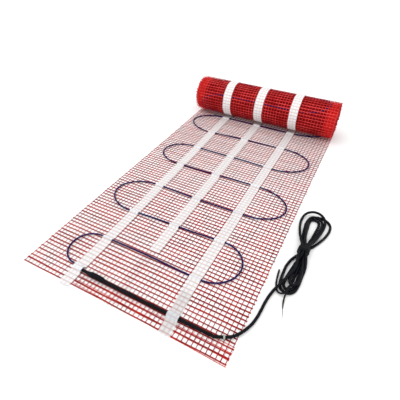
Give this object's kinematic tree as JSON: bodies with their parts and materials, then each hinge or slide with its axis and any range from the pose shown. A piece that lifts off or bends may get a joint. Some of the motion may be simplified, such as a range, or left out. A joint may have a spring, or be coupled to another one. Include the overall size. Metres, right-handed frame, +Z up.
{
  "type": "underfloor heating mat",
  "caption": "Partly unrolled electric underfloor heating mat: open net with a looped heating cable under tapes, rolled end, and a hank of cold lead.",
  "frame": {"origin": "on the floor, under the middle of the mat and its roll, without the cold lead and its hank", "axes": "+X across the mat towards the side where the lead leaves it, +Y along the mat towards the roll, +Z up from the floor"},
  "size_m": [0.591, 0.9505, 0.125],
  "materials": {
    "net": "glass fibre net with a brown-red coating, thick crosswise and thin lengthwise strands, matt",
    "rolled_net": "many turns of the same net seen through each other, bright red strands over dark red cells",
    "heating_cable": "dark blue-violet cable jacket, satin",
    "splice_sleeve": "black heat-shrink sleeve over the splice, slightly lumpy, satin",
    "clear_band": "pale clear plastic band",
    "tape": "white fabric tape, slightly see-through, matt, faint creases over the cable",
    "lead_sheath": "black round cable sheath, satin",
    "tie": "black band wound round the hank",
    "lead_wires": "thin bare wire ends of the lead, dark grey"
  },
  "bodies": {
    "root": {"mesh_warp": "net", "mesh_weft": "net", "mat_roll": "rolled_net", "heating_cable": "heating_cable", "joint_sleeve": "splice_sleeve", "lead_band": "clear_band", "tape_left": "tape", "tape_middle": "tape", "tape_right": "tape", "backing_tape_left": "tape", "backing_tape_middle": "tape", "backing_tape_right": "tape", "roll_tape_left": "tape", "roll_tape_middle": "tape", "roll_tape_right": "tape", "cold_lead": "lead_sheath", "lead_hank": "lead_sheath", "hank_tie": "tie", "lead_wire_end": "lead_wires"}
  },
  "joints": []
}
